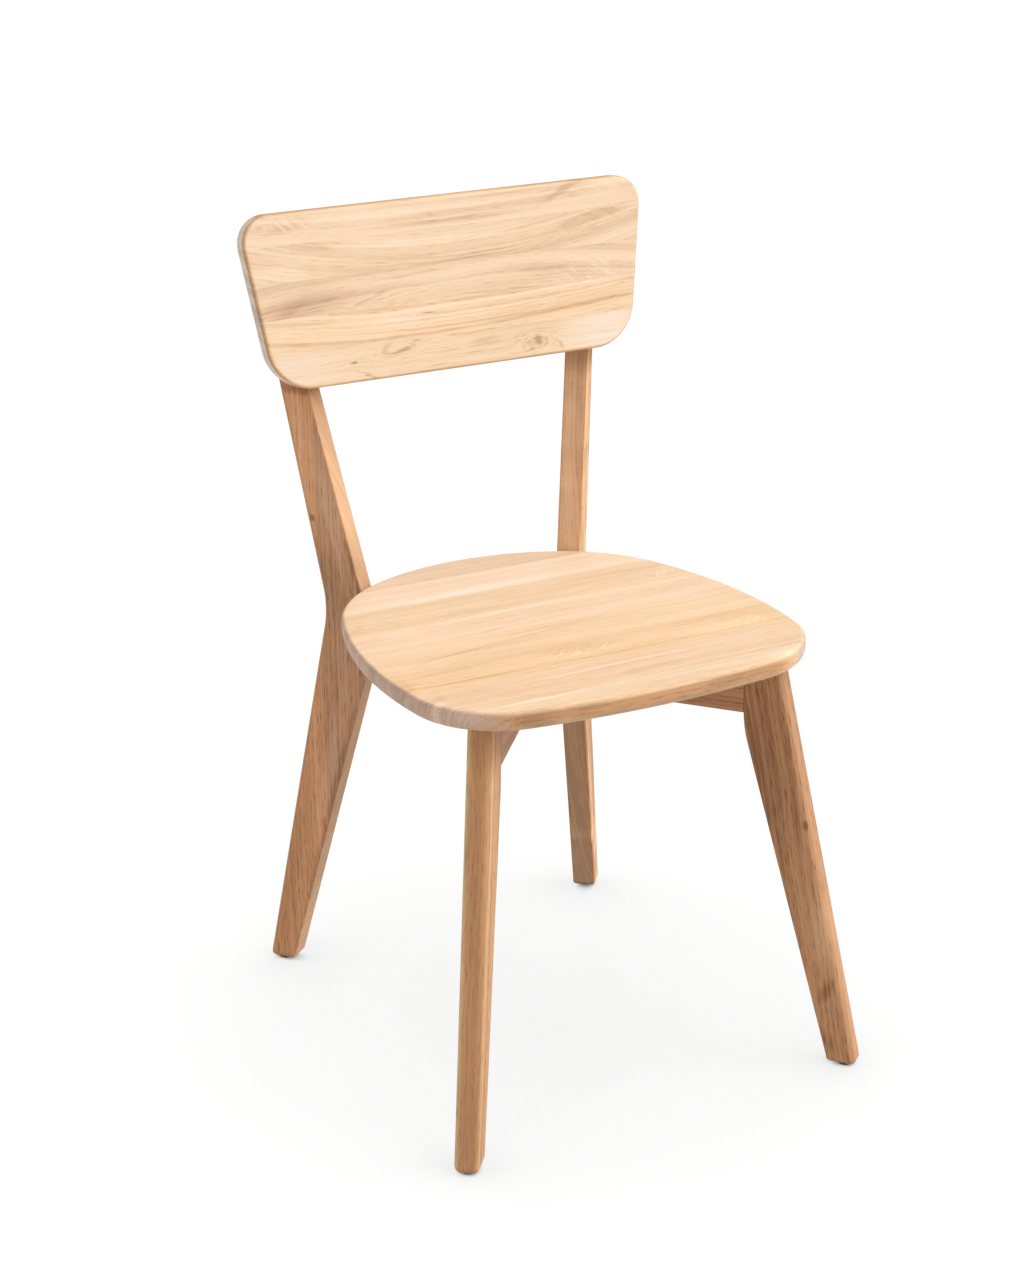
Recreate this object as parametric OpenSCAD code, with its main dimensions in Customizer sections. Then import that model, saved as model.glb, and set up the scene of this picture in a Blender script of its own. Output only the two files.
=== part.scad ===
// Solid oak dining chair. Four legs are boards that stand in two vertical planes
// crossing under the seat. A half-lapped rail in each plane joins its two legs,
// carries the glued seat panel, and the rear legs run on up to the backrest.
// Millimetres, +Z up, front towards -Y, origin on the floor midway between the feet.

/* [Seat] */
// Height of the seat's top face above the floor
seat_h = 450; // [430:1:480]
// Width of the seat at its widest
seat_w = 432; // [410:1:460]
// Depth of the seat from front to back
seat_d = 426; // [400:1:430]
// Thickness of the seat panel
seat_t = 22; // [20:0.5:26]
// Radius of the roundover on the seat's edges
seat_round = 3; // [1:0.5:6]
// Width of one glued stave in the seat
seat_stave_w = 57.3; // [55:0.1:59]
// Gap between the seat's edge and the rear posts
seat_gap = 0.3; // [0.2:0.1:2]

/* [Backrest] */
// Width of the backrest at its top
back_w_top = 462; // [440:1:500]
// Width of the backrest at its bottom
back_w_bottom = 410; // [396:1:440]
// Height of the backrest measured along its slope
back_height = 178; // [170:1:190]
// Thickness of the backrest panel
back_t = 22; // [20:0.5:26]
// Angle that the backrest leans back from upright
back_lean = 8.4; // [7:0.1:10]
// Height of the backrest's lower front edge above the floor
back_bottom_h = 665; // [645:1:680]
// Distance of that lower front edge behind the origin
back_front_y = 173; // [168:1:178]
// Radius of the two upper corners
back_top_r = 30; // [15:1:40]
// Radius of the two lower corners
back_bottom_r = 48; // [30:1:60]
// Radius of the roundover on the backrest's edges
back_round = 3; // [1:0.5:6]
// Width of one glued stave in the backrest
back_stave_w = 36.5; // [34:0.1:38]

/* [Frame] */
// Angle between each diagonal plane and the front-to-back axis
diagonal_angle = 39.4; // [38:0.1:41]
// Thickness of the leg and rail boards
board_t = 25; // [24:0.5:30]
// Height of the crossing rails
rail_h = 53; // [50:1:60]
// Length of the curve where a leg's inner edge meets its rail
joint_blend = 30; // [10:1:60]
// Radius on the outer long edges of the legs
leg_round = 7; // [3:0.5:10]
// Radius round the bottom of each foot
foot_round = 5; // [2:0.5:6]

/* [Front legs] */
// Reach of the foot's outer edge from the crossing
front_foot_out = 356; // [345:1:365]
// Reach of the foot's inner edge from the crossing
front_foot_in = 327; // [318:1:330]
// Reach of the leg's outer edge at the seat's underside
front_top_out = 265; // [262:1:272]
// Reach of the upright face that the rail butts against
front_joint = 228; // [220:1:229]

/* [Rear legs] */
// Reach of the foot's outer edge from the crossing
rear_foot_out = 316.5; // [308:0.5:325]
// Reach of the foot's inner edge from the crossing
rear_foot_in = 286.5; // [280:0.5:290]
// Height of the knee, where the leg is closest to the middle
knee_h = 424; // [412:1:436]
// Reach of the knee's outer edge before it is rounded
knee_out = 231; // [229:0.5:235]
// Half the length of the curve that rounds the knee
knee_blend = 20; // [10:1:30]
// Reach of the upright face that the rail butts against
rear_joint = 184.5; // [183:0.5:187]
// Reach of the post's front edge at the height of the backrest's lower edge
post_in = 244.4; // [243:0.1:247]
// Reach of the post's rear edge at its top
post_top_out = 303; // [298:1:308]
// Height of the top of the post
post_top_h = 800; // [790:1:810]
// Depth of the bevel that seats the post against the backrest
post_bevel = 7; // [7:0.5:8]

/* [Joinery] */
// Diameter of the dowels between rails and legs
rail_dowel_d = 10; // [8:0.5:10]
// Length of the dowels between rails and legs
rail_dowel_len = 50; // [40:1:56]
// Diameter of the dowels between posts and backrest
back_dowel_d = 8; // [6:0.5:8]
// Length of the dowels between posts and backrest
back_dowel_len = 34; // [30:1:36]
// Glue clearance on the diameter of every dowel bore
dowel_gap = 0.1; // [0.05:0.05:0.3]
// Shank diameter of the screws that hold the seat
seat_screw_d = 4.5; // [4:0.5:5]
// Length of the screws that hold the seat, below the head
seat_screw_len = 42; // [40:1:44]
// Reach of the front pair of seat screws from the crossing
seat_screw_front = 165; // [150:1:170]
// Reach of the rear pair of seat screws from the crossing
seat_screw_rear = 115; // [105:1:125]
// Diameter of the glide under each foot
glide_d = 15; // [12:0.5:16]
// Thickness of the glide under each foot
glide_t = 2.5; // [2:0.5:4]

/* [Hidden] */
SEAT_NODES = ["seat_stave_1", "seat_stave_2", "seat_stave_3", "seat_stave_4",
              "seat_stave_5", "seat_stave_6", "seat_stave_7", "seat_stave_8"];
BACK_NODES = ["back_stave_1", "back_stave_2", "back_stave_3", "back_stave_4", "back_stave_5"];
$fn = 64;

OAK = "#d8b07a";
OAK_PALE = "#e3c69a";
OAK_DARK = "#9c6a3c";
BEECH = "#dcc09a";
STEEL = "#a9abae";
NYLON = "#3a332d";

// Heights of the frame's main levels.
seat_under = seat_h - seat_t;
rail_z = seat_under - rail_h;
// The crossing lies behind the origin, because the front feet reach further.
cross_y = (front_foot_out - rear_foot_out) * cos(diagonal_angle) / 2;

// Number of steps on each rounded edge, leg corner and backrest corner.
edge_steps = 4;
leg_corner_steps = 5;
back_corner_steps = 8;
// How far a cutter runs past what it cuts.
over = 1;
// Clearance between the two rails at their half lap.
lap_gap = 0.1;
// Dowel heights above the rail's lower edge.
rail_dowel_rise = [16, 38];
// Dowel heights above the backrest's lower edge, along its slope.
back_dowel_rise = [36, 104];
// How deep a backrest dowel goes into the panel.
back_dowel_in = 12;
// The bevel's flare on the post starts this far below the backrest and takes this long.
flare_drop = 8;
flare_len = 14;
// Seat screw details: head, clearance hole, thread core and counterbore.
screw_head_d = 9;
screw_head_h = 3.5;
screw_hole_gap = 0.5;
screw_core_d = 3.4;
screw_bite = 14;
hex_key = 4;
hex_depth = 2;
counterbore_gap = 1;
// Stem that holds a glide in the foot.
glide_stem_d = 4;
glide_stem_len = 10;
glide_chamfer = 0.6;

// ---- Helpers -------------------------------------------------------------

// Solid through a stack of rings, each counter-clockwise seen from above, lowest first.
module skin(rings) {
    n = len(rings[0]);
    m = len(rings);
    sides = [for (k = [0:m - 2], i = [0:n - 1])
        let (a = k * n + i, b = k * n + (i + 1) % n)
        each [[a, a + n, b + n], [a, b + n, b]]];
    polyhedron(points = [for (r = rings) each r],
               faces = concat([[for (i = [0:n - 1]) i]], sides,
                              [[for (i = [n - 1:-1:0]) (m - 1) * n + i]]));
}

// [inset, height] pairs up the rounded edge of a slab of thickness t.
function edge_profile(t, r) = concat(
    [for (i = [0:edge_steps]) let (a = 90 * i / edge_steps) [r * (1 - sin(a)), r * (1 - cos(a))]],
    [for (i = [edge_steps:-1:0]) let (a = 90 * i / edge_steps) [r * (1 - sin(a)), t - r * (1 - cos(a))]]);

// Points of an arc about centre c, from angle a0 to a1 in n steps.
function arc(c, r, a0, a1, n) = [for (i = [0:n]) let (a = a0 + (a1 - a0) * i / n) c + r * [cos(a), sin(a)]];

function mix(a, b, t) = a + (b - a) * t;

function sorted(v) = len(v) < 2 ? v :
    let (p = v[0], rest = [for (i = [1:len(v) - 1]) v[i]])
    concat(sorted([for (x = rest) if (x < p) x]), [p], sorted([for (x = rest) if (x > p) x]));

// Frame of one leg: +X runs outwards from the crossing along its diagonal.
// side is 1 on the right and -1 on the left, end is 1 at the rear and -1 at the front.
module diagonal(side, end) {
    translate([0, cross_y, 0]) rotate([0, 0, end * (90 - side * diagonal_angle)]) children();
}

// Frame of the backrest: front face at y = 0, lower edge at z = 0, leaning back.
module back_frame() {
    translate([0, back_front_y, back_bottom_h]) rotate([-back_lean, 0, 0]) children();
}

// ---- Seat ----------------------------------------------------------------

// Half outline from the middle of the front round to the middle of the back, as five
// tangent arcs. Each arc takes up where the last one ends; the last closes on the axis.
seat_arc_r = [940, 96, 460, 158];
seat_arc_end = [-82, -7, 21.5, 64];
seat_arc_steps = [4, 10, 6, 8, 6];
seat_c1 = [0, seat_arc_r[0]];
function heading(a) = [cos(a), sin(a)];
seat_c2 = seat_c1 + (seat_arc_r[0] - seat_arc_r[1]) * heading(seat_arc_end[0]);
seat_c3 = seat_c2 + (seat_arc_r[1] - seat_arc_r[2]) * heading(seat_arc_end[1]);
seat_c4 = seat_c3 + (seat_arc_r[2] - seat_arc_r[3]) * heading(seat_arc_end[2]);
seat_last_r = seat_arc_r[3] + seat_c4.x / cos(seat_arc_end[3]);
seat_c5 = seat_c4 + (seat_arc_r[3] - seat_last_r) * heading(seat_arc_end[3]);
seat_raw_half_w = seat_c3.x + seat_arc_r[2];
seat_raw_d = seat_c5.y + seat_last_r;

function seat_half(e) = concat(
    arc(seat_c1, seat_arc_r[0] - e, -90, seat_arc_end[0], seat_arc_steps[0]),
    arc(seat_c2, seat_arc_r[1] - e, seat_arc_end[0], seat_arc_end[1], seat_arc_steps[1]),
    arc(seat_c3, seat_arc_r[2] - e, seat_arc_end[1], seat_arc_end[2], seat_arc_steps[2]),
    arc(seat_c4, seat_arc_r[3] - e, seat_arc_end[2], seat_arc_end[3], seat_arc_steps[3]),
    arc(seat_c5, seat_last_r - e, seat_arc_end[3], 90, seat_arc_steps[4]));

// Whole outline, inset by e, scaled to the seat's width and depth, front edge at y = 0.
function seat_outline(e) =
    let (h = seat_half(e), n = len(h), kx = seat_w / 2 / seat_raw_half_w, ky = seat_d / seat_raw_d,
         right = [for (i = [0:n - 1]) if (i == 0 || norm(h[i] - h[i - 1]) > 0.01) h[i]],
         m = len(right),
         ring = concat(right, [for (i = [m - 2:-1:1]) [-right[i].x, right[i].y]]))
    [for (p = ring) [p.x * kx, p.y * ky]];

// The panel is pushed back until its edge stands seat_gap off the rear posts.
seat_reach = max([for (p = seat_outline(0)) p * [sin(diagonal_angle), cos(diagonal_angle)]]);
seat_y = cross_y + (rear_in(seat_under + seat_round) - seat_gap - seat_reach) / cos(diagonal_angle);

// Seams between the staves, counted from the back. The middle one lies a little in
// front of the panel's middle.
seat_staves = len(SEAT_NODES);
seat_seam_shift = -6.4;
function seat_seam(k) =
    seat_y + seat_d / 2 + seat_seam_shift + (seat_staves / 2 - k) * seat_stave_w;

module seat_blank() {
    translate([0, seat_y, seat_under])
        skin([for (s = edge_profile(seat_t, seat_round))
            [for (p = seat_outline(s[0])) [p.x, p.y, s[1]]]]);
}

module seat_stave(k) {
    reach = seat_w;
    y0 = k == seat_staves ? -reach : seat_seam(k);
    y1 = k == 1 ? reach : seat_seam(k - 1);
    color(k % 2 == 0 ? OAK : OAK_PALE)
        difference() {
            intersection() {
                seat_blank();
                translate([-reach, y0, 0]) cube([2 * reach, y1 - y0, seat_h + seat_t]);
            }
            seat_screw_holes();
        }
}

// ---- Backrest ------------------------------------------------------------

// Rounded trapezoid, inset by e. The lower corners are at y = 0.
function back_outline(e) =
    let (hb = back_w_bottom / 2, ht = back_w_top / 2, slope = atan((ht - hb) / back_height),
         // Corner centres lie a radius inside both of their edges.
         bx = hb + back_bottom_r * (tan(slope) - 1 / cos(slope)),
         tx = ht - back_top_r * (tan(slope) + 1 / cos(slope)),
         rb = back_bottom_r - e, rt = back_top_r - e)
    concat(arc([bx, back_bottom_r], rb, -90, -slope, back_corner_steps),
           arc([tx, back_height - back_top_r], rt, -slope, 90, back_corner_steps),
           arc([-tx, back_height - back_top_r], rt, 90, 180 + slope, back_corner_steps),
           arc([-bx, back_bottom_r], rb, 180 + slope, 270, back_corner_steps));

module back_blank() {
    translate([0, back_t, 0]) rotate([90, 0, 0])
        skin([for (s = edge_profile(back_t, back_round))
            [for (p = back_outline(s[0])) [p.x, p.y, s[1]]]]);
}

module back_stave(k) {
    reach = back_w_top;
    z0 = k == 1 ? -reach : (k - 1) * back_stave_w;
    z1 = k == len(BACK_NODES) ? reach : k * back_stave_w;
    color(k == 1 ? OAK_PALE : OAK)
        difference() {
            back_frame() intersection() {
                back_blank();
                translate([-reach, -back_t, z0]) cube([2 * reach, 3 * back_t, z1 - z0]);
            }
            back_dowel_set(back_dowel_d + dowel_gap);
        }
}

// ---- Legs ----------------------------------------------------------------

// Horizontal section of a leg from reach a to reach b, inset by e: sharp on the
// inner edge and rounded on the outer one.
function leg_ring(z, a, b, e = 0) =
    let (h = board_t / 2, c = b - leg_round)
    [for (p = concat([[a + e, -h + e]],
                     arc([c, -h + leg_round], leg_round - e, -90, 0, leg_corner_steps),
                     arc([c, h - leg_round], leg_round - e, 0, 90, leg_corner_steps),
                     [[a + e, h - e]])) [p.x, p.y, z]];

// Inner edge of a leg up to the top of its rail: straight, then curving upright.
function inner_edge(z, foot, joint) =
    let (m = (foot - joint) / (rail_z - joint_blend / 2))
    z < rail_z - joint_blend ? foot - m * z :
    z < rail_z ? joint + m / (2 * joint_blend) * pow(rail_z - z, 2) : joint;

function front_in(z) = inner_edge(z, front_foot_in, front_joint);
function front_out(z) = mix(front_foot_out, front_top_out, z / seat_under);

function rear_out(z) =
    let (below = (knee_out - rear_foot_out) / knee_h,
         above = (post_top_out - knee_out) / (post_top_h - knee_h), d = z - knee_h)
    d < -knee_blend ? knee_out + below * d :
    d > knee_blend ? knee_out + above * d :
    knee_out + (below + above) / 2 * d
        + (above - below) / (4 * knee_blend) * (d * d + knee_blend * knee_blend);

// Reach at which the post's outboard front corner stands post_bevel proud of the
// backrest's rear face.
function bevel_in(z) =
    ((back_t - post_bevel + (z - back_bottom_h) * sin(back_lean)) / cos(back_lean)
     + back_front_y - cross_y + board_t / 2 * sin(diagonal_angle)) / cos(diagonal_angle);

flare_z = back_bottom_h - flare_drop;
function rear_in(z) =
    let (post = mix(rear_joint, post_in, (z - seat_under) / (back_bottom_h - seat_under)))
    z < seat_under ? inner_edge(z, rear_foot_in, rear_joint) :
    z <= flare_z ? post :
    z < flare_z + flare_len ? mix(post, bevel_in(z), (z - flare_z) / flare_len) : bevel_in(z);

// Insets and heights of the rings that round the bottom of a foot.
foot_rings = [for (i = [0:edge_steps]) let (a = 90 * i / edge_steps)
    [foot_round * (1 - sin(a)), glide_t + foot_round * (1 - cos(a))]];
blend_levels = [for (i = [0:4]) rail_z - joint_blend + joint_blend * i / 4];

module front_leg(side) {
    levels = sorted(concat(blend_levels, [seat_under]));
    color(OAK_DARK)
        difference() {
            diagonal(side, -1)
                skin(concat([for (s = foot_rings) leg_ring(s[1], front_in(s[1]), front_out(s[1]), s[0])],
                            [for (z = levels) leg_ring(z, front_in(z), front_out(z))]));
            rail_dowel_set(rail_dowel_d + dowel_gap);
            glide_stems();
        }
}

module rear_leg(side) {
    knee_levels = [for (i = [0:6]) knee_h - knee_blend + knee_blend * i / 3];
    flare_levels = [for (i = [0:2]) flare_z + flare_len * i / 2];
    levels = sorted(concat(blend_levels, knee_levels, flare_levels, [seat_under, post_top_h - foot_round]));
    top_rings = [for (i = [edge_steps - 1:-1:0]) let (a = 90 * i / edge_steps)
        [foot_round * (1 - sin(a)), post_top_h - foot_round * (1 - cos(a))]];
    color(OAK_DARK)
        difference() {
            diagonal(side, 1)
                skin(concat([for (s = foot_rings) leg_ring(s[1], rear_in(s[1]), rear_out(s[1]), s[0])],
                            [for (z = levels) leg_ring(z, rear_in(z), rear_out(z))],
                            [for (s = top_rings) leg_ring(s[1], rear_in(s[1]), rear_out(s[1]), s[0])]));
            // Bevel that lies flat on the backrest's rear face.
            back_frame() translate([-back_w_top, -2 * back_t, -2 * flare_drop])
                cube([2 * back_w_top, 3 * back_t, 2 * back_height]);
            rail_dowel_set(rail_dowel_d + dowel_gap);
            back_dowel_set(back_dowel_d + dowel_gap);
            glide_stems();
        }
}

// ---- Rails ---------------------------------------------------------------

// Rail from the front leg on one side to the rear leg on the other. The left one is
// notched from above at the crossing and the right one from below.
module rail(side) {
    notch_z = side < 0 ? rail_z + rail_h / 2 - lap_gap / 2 : rail_z - over;
    notch_h = rail_h / 2 + over + lap_gap / 2;
    color(OAK_DARK)
        difference() {
            diagonal(side, -1) translate([-rear_joint, -board_t / 2, rail_z])
                cube([rear_joint + front_joint, board_t, rail_h]);
            diagonal(-side, -1) translate([-board_t * 2, -board_t / 2 - lap_gap, notch_z])
                cube([board_t * 4, board_t + 2 * lap_gap, notch_h]);
            rail_dowel_set(rail_dowel_d + dowel_gap);
            seat_screw_holes();
        }
}

// ---- Joinery -------------------------------------------------------------

// All eight rail dowels, at diameter d.
module rail_dowel_set(d) {
    for (side = [-1, 1], end = [-1, 1], rise = rail_dowel_rise)
        diagonal(side, end)
            translate([(end < 0 ? front_joint : rear_joint) - rail_dowel_len / 2, 0, rail_z + rise])
                rotate([0, 90, 0]) cylinder(h = rail_dowel_len, d = d);
}

// Distance from the mid plane to the middle of the bevel's face at height z.
function bevel_mid_x(z) = bevel_in(z) * sin(diagonal_angle) + board_t / 2 * cos(diagonal_angle)
    + post_bevel / cos(back_lean) * (tan(diagonal_angle) - 1 / tan(diagonal_angle)) / 2;

// All four backrest dowels, at diameter d, square to the panel.
module back_dowel_set(d) {
    for (side = [-1, 1], rise = back_dowel_rise)
        let (z = back_bottom_h + rise * cos(back_lean))
            back_frame() translate([side * bevel_mid_x(z), back_t - back_dowel_in, rise])
                rotate([-90, 0, 0]) cylinder(h = back_dowel_len, d = d);
}

// Places its children on the axis of each seat screw, under the head at z = 0.
screw_head_z = seat_under + screw_bite - seat_screw_len;
module at_seat_screws() {
    for (side = [-1, 1], end = [-1, 1])
        diagonal(side, end)
            translate([end < 0 ? seat_screw_front : seat_screw_rear, 0, screw_head_z]) children();
}

// Counterbore, clearance hole and pilot hole for every seat screw.
module seat_screw_holes() {
    at_seat_screws() {
        translate([0, 0, -rail_h]) cylinder(h = rail_h, d = screw_head_d + counterbore_gap);
        cylinder(h = seat_screw_len - screw_bite, d = seat_screw_d + screw_hole_gap);
        cylinder(h = seat_screw_len, d = screw_core_d);
    }
}

module seat_screw() {
    difference() {
        union() {
            translate([0, 0, -screw_head_h]) cylinder(h = screw_head_h, d = screw_head_d);
            cylinder(h = seat_screw_len - screw_bite, d = seat_screw_d);
            cylinder(h = seat_screw_len, d = screw_core_d);
        }
        translate([0, 0, -screw_head_h - over])
            cylinder(h = hex_depth + over, d = hex_key / cos(30), $fn = 6);
    }
}

// Places its children on the floor under the middle of each foot.
module at_feet() {
    for (side = [-1, 1], end = [-1, 1])
        diagonal(side, end)
            translate([end < 0 ? (front_foot_in + front_foot_out) / 2 : (rear_foot_in + rear_foot_out) / 2, 0, 0])
                children();
}

module glide_stems() {
    at_feet() cylinder(h = glide_t + glide_stem_len, d = glide_stem_d);
}

module rail_dowels() { color(BEECH) rail_dowel_set(rail_dowel_d); }

module back_dowels() { color(BEECH) back_dowel_set(back_dowel_d); }

module seat_screws() { color(STEEL) at_seat_screws() seat_screw(); }

module glides() {
    color(NYLON) at_feet() {
        cylinder(h = glide_chamfer, d1 = glide_d - 2 * glide_chamfer, d2 = glide_d);
        translate([0, 0, glide_chamfer]) cylinder(h = glide_t - glide_chamfer, d = glide_d);
        cylinder(h = glide_t + glide_stem_len, d = glide_stem_d);
    }
}

for (k = [1:len(SEAT_NODES)]) seat_stave(k);
for (k = [1:len(BACK_NODES)]) back_stave(k);
front_leg(-1);  // front_left_leg
front_leg(1);  // front_right_leg
rear_leg(-1);  // rear_left_leg
rear_leg(1);  // rear_right_leg
rail(-1);  // left_front_rail
rail(1);  // right_front_rail
rail_dowels();
back_dowels();
seat_screws();
glides();
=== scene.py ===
import math

import bmesh
import bpy
from mathutils import Matrix, Vector


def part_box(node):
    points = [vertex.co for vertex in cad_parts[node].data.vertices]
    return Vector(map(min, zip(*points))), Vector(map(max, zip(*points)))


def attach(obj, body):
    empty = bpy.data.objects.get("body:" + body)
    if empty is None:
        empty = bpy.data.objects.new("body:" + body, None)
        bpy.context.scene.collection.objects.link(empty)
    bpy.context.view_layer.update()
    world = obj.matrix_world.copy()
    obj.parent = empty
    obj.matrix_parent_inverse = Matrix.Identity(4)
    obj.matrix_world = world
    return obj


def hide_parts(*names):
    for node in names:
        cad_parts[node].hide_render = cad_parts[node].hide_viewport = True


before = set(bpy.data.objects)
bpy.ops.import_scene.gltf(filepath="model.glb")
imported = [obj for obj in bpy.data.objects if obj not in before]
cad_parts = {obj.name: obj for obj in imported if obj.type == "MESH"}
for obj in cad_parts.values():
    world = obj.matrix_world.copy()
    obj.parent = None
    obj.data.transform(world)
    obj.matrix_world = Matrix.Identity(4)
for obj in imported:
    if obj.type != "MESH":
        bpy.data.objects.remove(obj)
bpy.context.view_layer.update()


# ---- Front legs ----------------------------------------------------------
# Tapered oak boards, one in each diagonal plane, sawn along the slant of the leg. The two
# outer long edges are rounded over and the foot is eased all round; the inner edge is crisp.

MM = 0.001
# Lengths within this many mm of each other are taken as equal.
CLOSE = 0.01

board_t = 25.0
diagonal_angle = math.radians(39.4)
front_foot_out, front_foot_in = 356.0, 327.0
front_top_out, front_joint = 265.0, 228.0
rear_foot_out, rear_foot_in = 316.5, 286.5
sole_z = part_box("front_left_leg")[0].z / MM
seat_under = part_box("front_left_leg")[1].z / MM
rail_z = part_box("left_front_rail")[0].z / MM
cross_y = (front_foot_out - rear_foot_out) * math.cos(diagonal_angle) / 2
joint_blend = 15.0
outer_round, inner_ease, foot_round = 7.0, 1.2, 6.5


def diagonal(side, end):
    """Matrix of a leg's own frame: X runs outwards from the crossing, Y across the board."""
    turn = end * (math.pi / 2 - side * diagonal_angle)
    return Matrix.Translation((0, cross_y, 0)) @ Matrix.Rotation(turn, 4, "Z")


def board(profile):
    """A board of board_t with this side profile of (reach, height) corners."""
    bm = bmesh.new()
    corners = [bm.verts.new((x, -board_t / 2, z)) for x, z in profile]
    face = bm.faces.new(corners)
    swept = bmesh.ops.extrude_face_region(bm, geom=[face])["geom"]
    moved = [v for v in swept if isinstance(v, bmesh.types.BMVert)]
    bmesh.ops.translate(bm, verts=moved, vec=(0, board_t, 0))
    bmesh.ops.recalc_face_normals(bm, faces=bm.faces[:])
    return bm


def at_height(z):
    """A test for edges that lie level at this height."""
    return lambda a, b: abs(a.z - z) < CLOSE and abs(b.z - z) < CLOSE


def round_edges(bm, radius, segments, chosen):
    """Rounds over the edges for which chosen(one end, other end) holds."""
    edges = [e for e in bm.edges if chosen(e.verts[0].co, e.verts[1].co)]
    bmesh.ops.bevel(bm, geom=edges, offset=radius, segments=segments, profile=0.5,
                    affect="EDGES", offset_type="OFFSET", clamp_overlap=True, material=-1)


def finish_piece(bm, name, nodes, material, place):
    """Puts the mesh in the chair's frame, in metres, and stands it in for its CAD nodes."""
    bmesh.ops.transform(bm, matrix=Matrix.Scale(MM, 4) @ place, verts=bm.verts[:])
    mesh = bpy.data.meshes.new(name)
    bm.to_mesh(mesh)
    bm.free()
    mesh.shade_smooth()
    mesh.set_sharp_from_angle(angle=math.radians(35))
    piece = bpy.data.objects.new(name, mesh)
    bpy.context.scene.collection.objects.link(piece)
    weighted = piece.modifiers.new("face_weighted_normals", "WEIGHTED_NORMAL")
    weighted.keep_sharp = True
    mesh.materials.append(material)
    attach(piece, "root")
    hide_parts(*nodes)


def linear(code):
    """sRGB hex code to linear RGBA."""
    parts = [int(code[i:i + 2], 16) / 255 for i in (1, 3, 5)]
    return [c / 12.92 if c <= 0.04045 else ((c + 0.055) / 1.055) ** 2.4 for c in parts] + [1.0]


def add_node(tree, kind, inputs=None, **settings):
    """Adds a node, sets its settings, and gives each input a value or a link."""
    node = tree.nodes.new(kind)
    for key, value in settings.items():
        setattr(node, key, value)
    for key, value in (inputs or {}).items():
        if isinstance(value, bpy.types.NodeSocket):
            tree.links.new(value, node.inputs[key])
        else:
            node.inputs[key].default_value = value
    return node


def set_stops(ramp, stops):
    """Gives a colour ramp node these (position, colour) stops and no others."""
    elements = ramp.color_ramp.elements
    for position, colour in stops:
        elements.new(position).color = colour
    for spare in (elements[-1], elements[0]):
        elements.remove(spare)


def new_material(name):
    """A material and its node tree, still empty."""
    material = bpy.data.materials.new(name)
    material.use_nodes = True
    material.node_tree.nodes.clear()
    return material, material.node_tree


# Oiled oak, sawn, planed and sanded. Growth rings are cylinders round a pith that runs beside
# the board, so faces show lines and flames and ends show arcs. The spring wood of each ring has
# open pores, which read as short dark dashes along it. The oil leaves it matt with a faint sheen.

# Yearly rings, and the broad bands of good and lean years.
RING_MM, BAND_MM = 2.8, 11.0
# Patches along, across and deep: clouds of tone, waves of the log and torn ends of streaks.
CLOUD_MM = (150.0, 22.0, 22.0)
WANDER_MM = (180.0, 50.0, 50.0)
RAGGED_MM = (46.0, 3.2, 3.2)
# Real pores are about 0.3 mm wide; these are drawn at 0.9 mm so that they show.
PORE_MM = (15.0, 0.9, 0.9)
# Rays cross the grain as soft slanting flecks.
RAY_MM = (22.0, 4.2, 60.0)
# Streaks and stains go right through a board.
THROUGH_MM = 900.0
# Two glued staves come from parts of the log that lie this far apart.
OTHER_STAVE_MM = 137.0
# Brightness of edge and end grain where the figure's tone is 0.5.
EDGE_LEVEL = 0.91


def patterned(tree, place, size, detail, seed):
    """Noise from 0 to 1 whose patches are this many mm along, across and deep."""
    scaled = add_node(tree, "ShaderNodeVectorMath", {0: place, 1: size}, operation="DIVIDE")
    moved = add_node(tree, "ShaderNodeVectorMath", {
        0: scaled.outputs[0], 1: (seed, seed, seed)}, operation="ADD")
    return add_node(tree, "ShaderNodeTexNoise", {
        "Vector": moved.outputs[0], "Scale": 1.0, "Detail": detail}).outputs["Fac"]


def spot_gap(tree, place, torn, spot, ragged):
    """Distance from a spot's middle in half lengths and half widths, with a ragged rim.

    spot is (along, across, half length, half width, turn in degrees)."""
    at_x, at_y, length, width, turn = spot
    gap = add_node(tree, "ShaderNodeMapping", {
        "Vector": place, "Location": (at_x, at_y, 0), "Rotation": (0, 0, math.radians(turn)),
        "Scale": (length, width, THROUGH_MM)}, vector_type="TEXTURE").outputs[0]
    gap = add_node(tree, "ShaderNodeVectorMath", {0: torn, 1: (0.4, ragged, 0), 2: gap},
                   operation="MULTIPLY_ADD").outputs[0]
    return add_node(tree, "ShaderNodeVectorMath", {0: gap}, operation="LENGTH").outputs["Value"]


def looks_along(tree, axis, low, high, least=0.0):
    """1 where the surface looks along this axis, down to least where it looks across it."""
    coord = add_node(tree, "ShaderNodeTexCoord")
    share = add_node(tree, "ShaderNodeVectorMath", {
        0: coord.outputs["Normal"], 1: axis}, operation="DOT_PRODUCT").outputs["Value"]
    share = add_node(tree, "ShaderNodeMath", {0: share}, operation="ABSOLUTE").outputs[0]
    return add_node(tree, "ShaderNodeMapRange", {
        "Value": share, "From Min": low, "From Max": high, "To Min": least}).outputs[0]


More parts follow.
